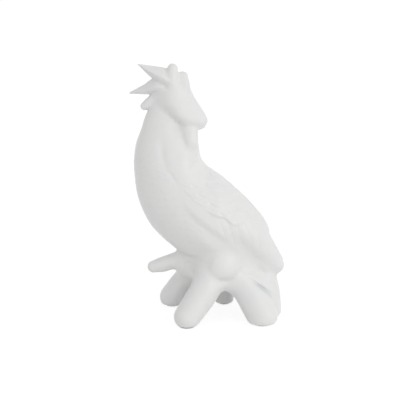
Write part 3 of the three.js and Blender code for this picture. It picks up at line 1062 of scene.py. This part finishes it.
def pad_body(name, low_corner, high_corner):
    """A round pad with softly rounded rims, in the CAD pad's own place."""
    centre = (low_corner + high_corner) / 2
    radius = (high_corner[0] - low_corner[0]) / 2
    height = high_corner[2] - low_corner[2]
    rings = []
    for level, quarter in ((PAD_ROUND, -1), (height - PAD_ROUND, 0)):
        for step in range(PAD_ROUND_STEPS + 1):
            turn = (step / PAD_ROUND_STEPS + quarter) * math.pi / 2
            rings.append((radius - PAD_ROUND + PAD_ROUND * math.cos(turn),
                          level + PAD_ROUND * math.sin(turn)))
    verts = [(centre[0], centre[1], 0.0), (centre[0], centre[1], height)]
    for r, z in rings:
        for j in range(PAD_SIDES):
            angle = 2 * math.pi * j / PAD_SIDES
            verts.append((centre[0] + r * math.cos(angle), centre[1] + r * math.sin(angle), z))
    faces = []
    top = 2 + (len(rings) - 1) * PAD_SIDES
    for j in range(PAD_SIDES):
        after = (j + 1) % PAD_SIDES
        faces += [(0, 2 + after, 2 + j), (1, top + j, top + after)]
        for a in range(2, top, PAD_SIDES):
            b = a + PAD_SIDES
            faces.append((a + j, a + after, b + after, b + j))
    mesh = bpy.data.meshes.new(name)
    mesh.from_pydata(verts, [], faces)
    mesh.polygons.foreach_set("use_smooth", [len(face) == 4 for face in faces])
    return mesh


def with_nap(name, mesh):
    """The pad's mesh with its fibres grown."""
    blank = add_object("blank_" + name, mesh)
    growth = blank.modifiers.new("nap", "NODES")
    growth.node_group = nap
    growth[inputs["Length"]] = FIBRE_LENGTH
    growth[inputs["Thickness"]] = FIBRE_THICKNESS
    growth[inputs["Density"]] = FIBRES_PER_AREA
    growth[inputs["Fibres"]] = felt_cloth
    graph = bpy.context.evaluated_depsgraph_get()
    whole = bpy.data.meshes.new_from_object(blank.evaluated_get(graph))
    whole.name = "felt_" + name
    blank.modifiers.remove(growth)
    bpy.data.objects.remove(blank)
    return whole


nap = nap_tree()
felt_cloth = felt()
inputs = {item.name: item.identifier for item in nap.interface.items_tree if item.in_out == "INPUT"}
for name in [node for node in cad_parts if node.startswith("pad_")]:
    blank_mesh = pad_body("blank_" + name, *[Vector(corner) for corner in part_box(name)])
    pad = add_object("felt_" + name, with_nap(name, blank_mesh))
    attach(pad, "root")
    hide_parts(name)

# Camera, light and floor

LENS = 98.86
FILM_WIDTH = 36
EYE = (-0.0093, -1.2476, 0.4763)
EYE_TILT = 75  # degrees up from straight down
FARTHEST = 20
ROOM_LIGHT = 0.543
LIGHT_FROM_RIGHT = 0.46
LIGHT_FROM_FRONT = 0.36
FLOOR_REACH = 15

bpy.context.scene.view_settings.view_transform = "Standard"

camera = add_object("camera", bpy.data.cameras.new("camera"))
camera.data.lens = LENS
camera.data.sensor_width = FILM_WIDTH
camera.data.clip_end = FARTHEST
camera.location = EYE
camera.rotation_euler = (math.radians(EYE_TILT), 0, 0)
bpy.context.scene.camera = camera


def studio():
    """A white room. It shows white, and lights the figurine less, most from the right and front."""
    world = bpy.data.worlds.new("studio")
    world.use_nodes = True
    tree = world.node_tree
    tree.nodes.clear()
    seen = ray_seen(tree)
    way = add_node(tree, "ShaderNodeSeparateXYZ", None,
                   {"Vector": add_node(tree, "ShaderNodeTexCoord", output="Generated")})
    right, front = way["X"].most(0), (way["Y"] * -1).most(0)
    light = ROOM_LIGHT + right * LIGHT_FROM_RIGHT + front * LIGHT_FROM_FRONT
    room = add_node(tree, "ShaderNodeBackground", None,
                    {"Color": (1, 1, 1, 1), "Strength": light * (1 - seen) + seen})
    add_node(tree, "ShaderNodeOutputWorld", None, {"Surface": room})
    return world


def lamp(name, at, towards, size, power):
    """A round soft box that shines towards a point."""
    light = bpy.data.lights.new(name, "AREA")
    light.shape = "DISK"
    light.size = size
    light.energy = power
    stand = add_object(name, light)
    stand.location = at
    stand.rotation_euler = (Vector(towards) - Vector(at)).to_track_quat("-Z", "Y").to_euler()
    return stand


bpy.context.scene.world = studio()
lamp("key", at=(1.1, -1.1, 0.5), towards=(0, 0, 0.14), size=1.0, power=2.1)
low_lamp = lamp("low", at=(0.15, -1.7, 0.14), towards=(0, 0, 0.03), size=0.3, power=1.0)
low_lamp.visible_glossy = False

floor_mesh = bpy.data.meshes.new("floor")
floor_corners = [(-1, -1), (1, -1), (1, 1), (-1, 1)]
floor_mesh.from_pydata([(x * FLOOR_REACH, y * FLOOR_REACH, 0) for x, y in floor_corners], [],
                       [(0, 1, 2, 3)])
floor = add_object("floor", floor_mesh)
floor.data.materials.append(white_paper())
